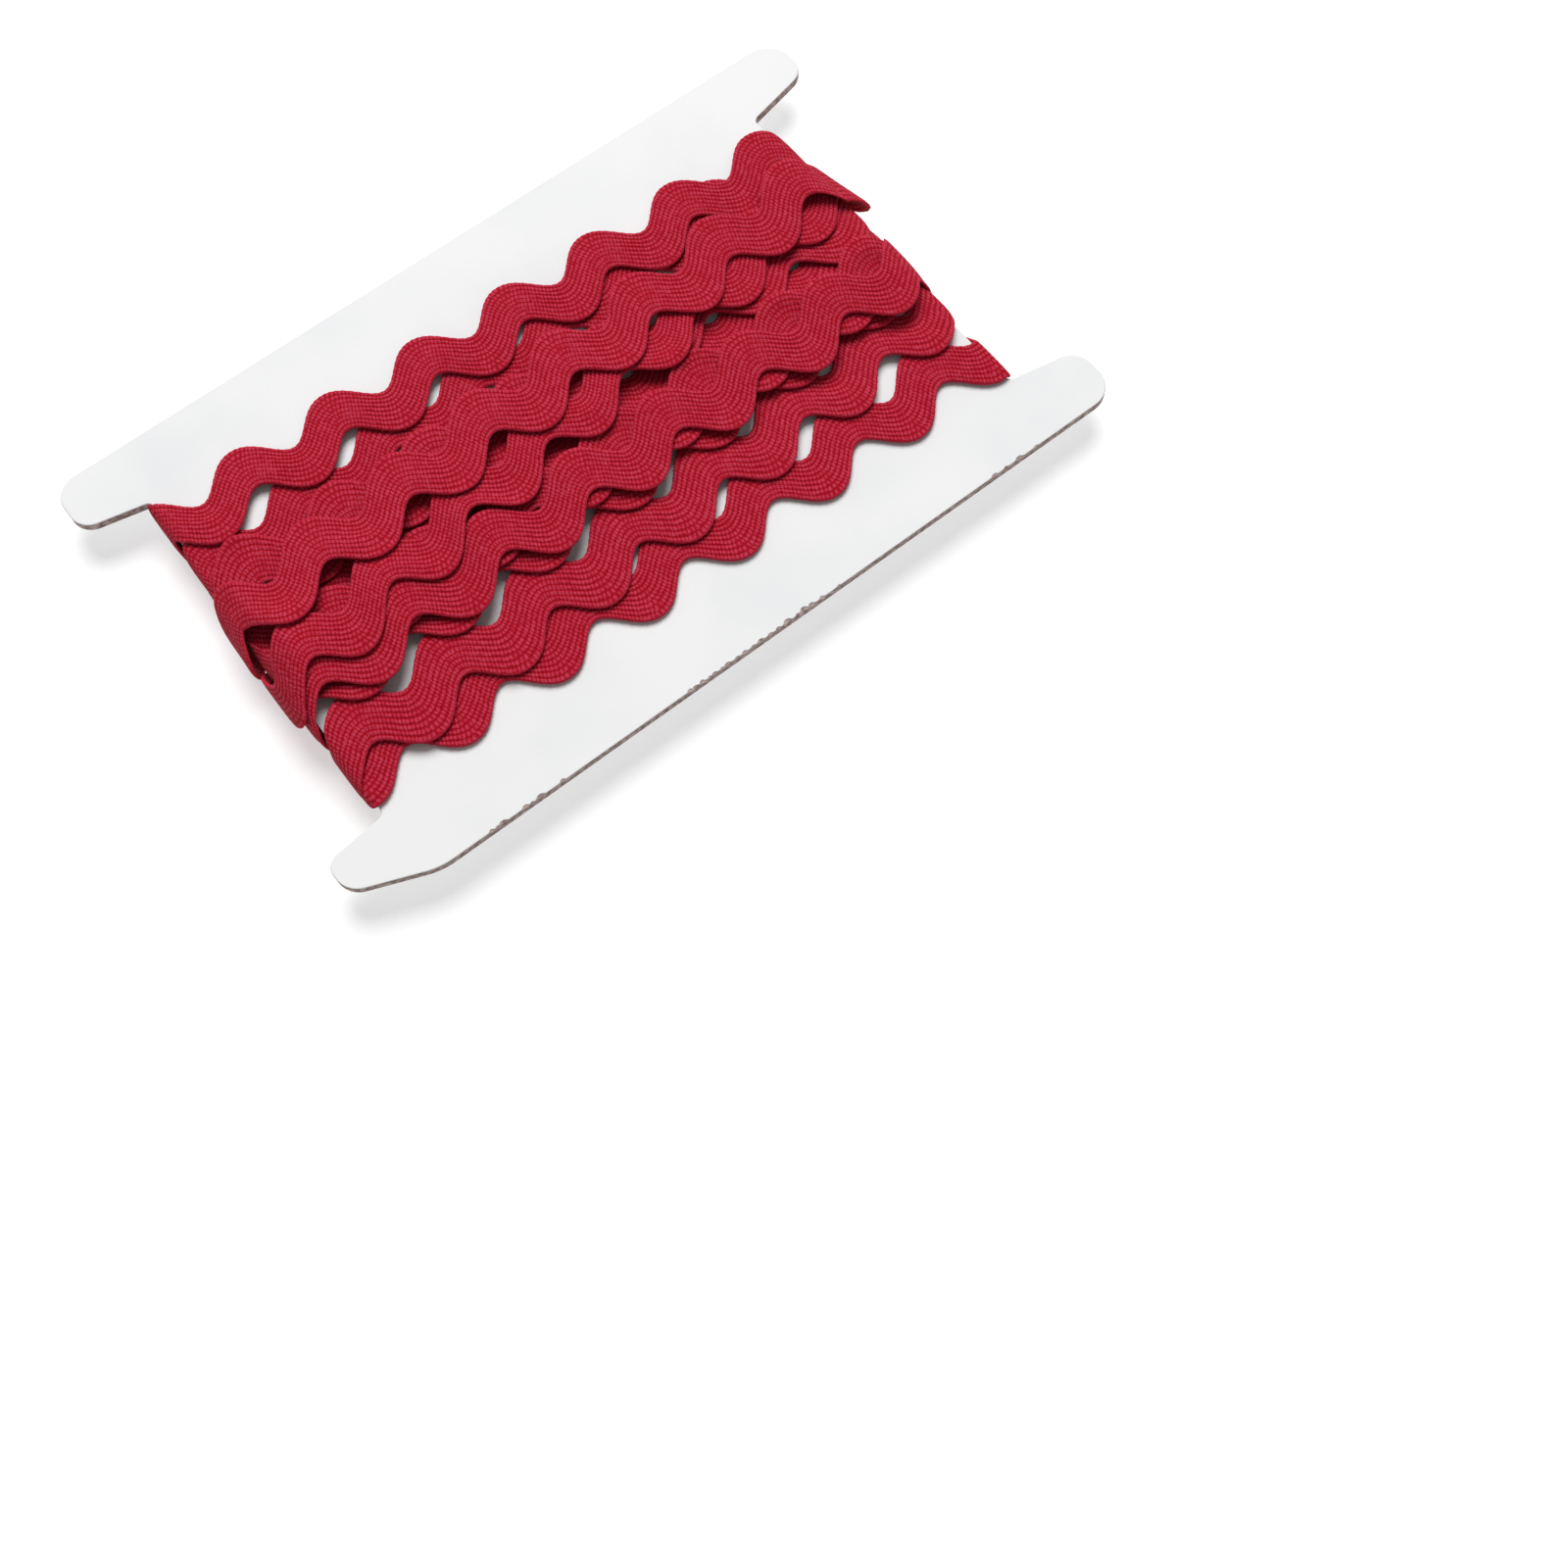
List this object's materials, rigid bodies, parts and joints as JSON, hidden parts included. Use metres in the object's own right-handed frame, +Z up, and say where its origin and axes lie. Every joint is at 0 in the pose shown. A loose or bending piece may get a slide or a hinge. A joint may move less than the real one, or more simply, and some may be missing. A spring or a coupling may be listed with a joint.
{
  "type": "roll of ric rac on a winding card",
  "caption": "Wavy braid trimming wound lengthwise round a notched flat paperboard card, lying on its back.",
  "frame": {"origin": "middle of the whole roll in plan, on the surface it lies on", "axes": "+X along the card and the runs of tape, +Y across the card, +Z up out of its front face"},
  "size_m": [0.1122, 0.0708, 0.0104],
  "materials": {
    "card": "smooth white-faced paperboard with a grey-brown core showing at its cut edge",
    "ric_rac": "matt crimson flat braid, finely ribbed along its waves"
  },
  "bodies": {
    "root": {"card": "card", "ric_rac_winding": "ric_rac"}
  },
  "joints": []
}
